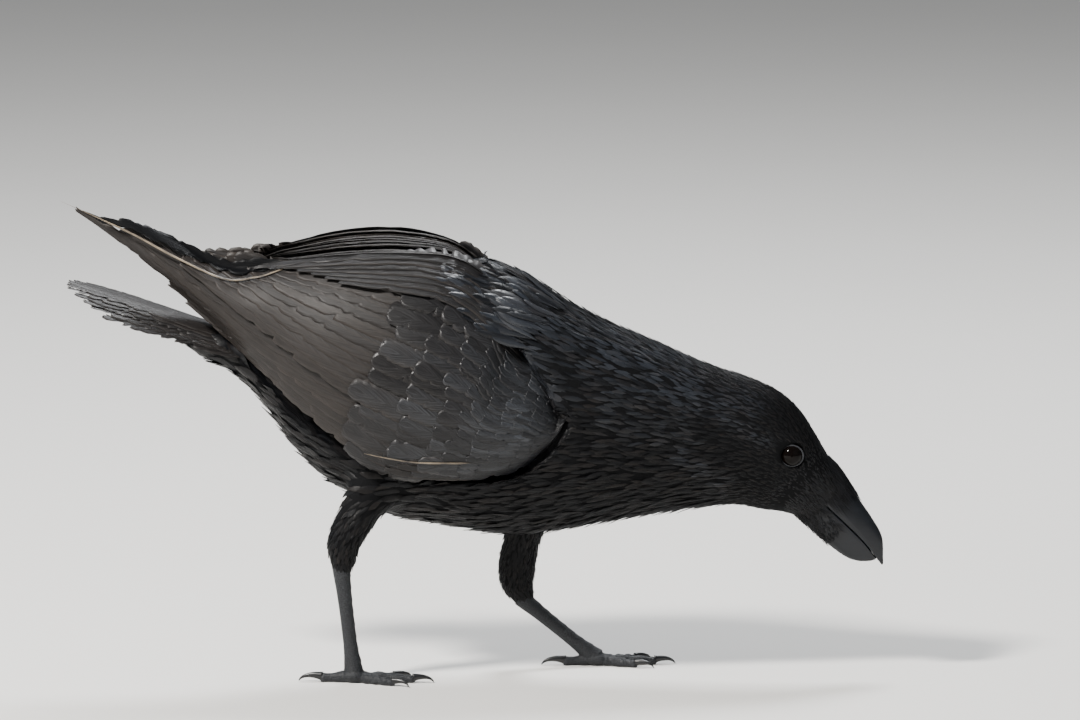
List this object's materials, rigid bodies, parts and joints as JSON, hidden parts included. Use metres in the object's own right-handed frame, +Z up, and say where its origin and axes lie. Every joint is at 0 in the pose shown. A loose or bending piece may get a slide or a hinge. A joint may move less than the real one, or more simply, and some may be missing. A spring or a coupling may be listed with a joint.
{
  "type": "common raven",
  "caption": "Life-size black raven standing with one leg forward, leaning down with folded wings and a heavy arched bill.",
  "frame": {"origin": "on the floor, under the middle of the bird's box", "axes": "+X to the bird's front, +Y to its left, +Z up"},
  "size_m": [0.5754, 0.139, 0.3283],
  "materials": {
    "plumage": "glossy black contour feathers",
    "flight_feather": "worn brown-black vanes with a blue sheen",
    "bill_horn": "satin blue-black horn",
    "claw_horn": "smooth black horn",
    "leg_scale": "black scaled skin",
    "eye": "wet, very dark brown"
  },
  "bodies": {
    "root": {"trunk": "plumage", "neck": "plumage", "head": "plumage", "tail": "flight_feather", "bill_upper": "bill_horn", "bill_lower": "bill_horn", "eye_right": "eye", "wing_coverts_right": "plumage", "wing_secondaries_right": "flight_feather", "wing_primaries_right": "flight_feather", "thigh_right": "plumage", "tarsus_right": "leg_scale", "foot_right": "leg_scale", "claw_hind_right": "claw_horn", "claw_inner_right": "claw_horn", "claw_middle_right": "claw_horn", "claw_outer_right": "claw_horn", "eye_left": "eye", "wing_coverts_left": "plumage", "wing_secondaries_left": "flight_feather", "wing_primaries_left": "flight_feather", "thigh_left": "plumage", "tarsus_left": "leg_scale", "foot_left": "leg_scale", "claw_hind_left": "claw_horn", "claw_inner_left": "claw_horn", "claw_middle_left": "claw_horn", "claw_outer_left": "claw_horn"}
  },
  "joints": []
}
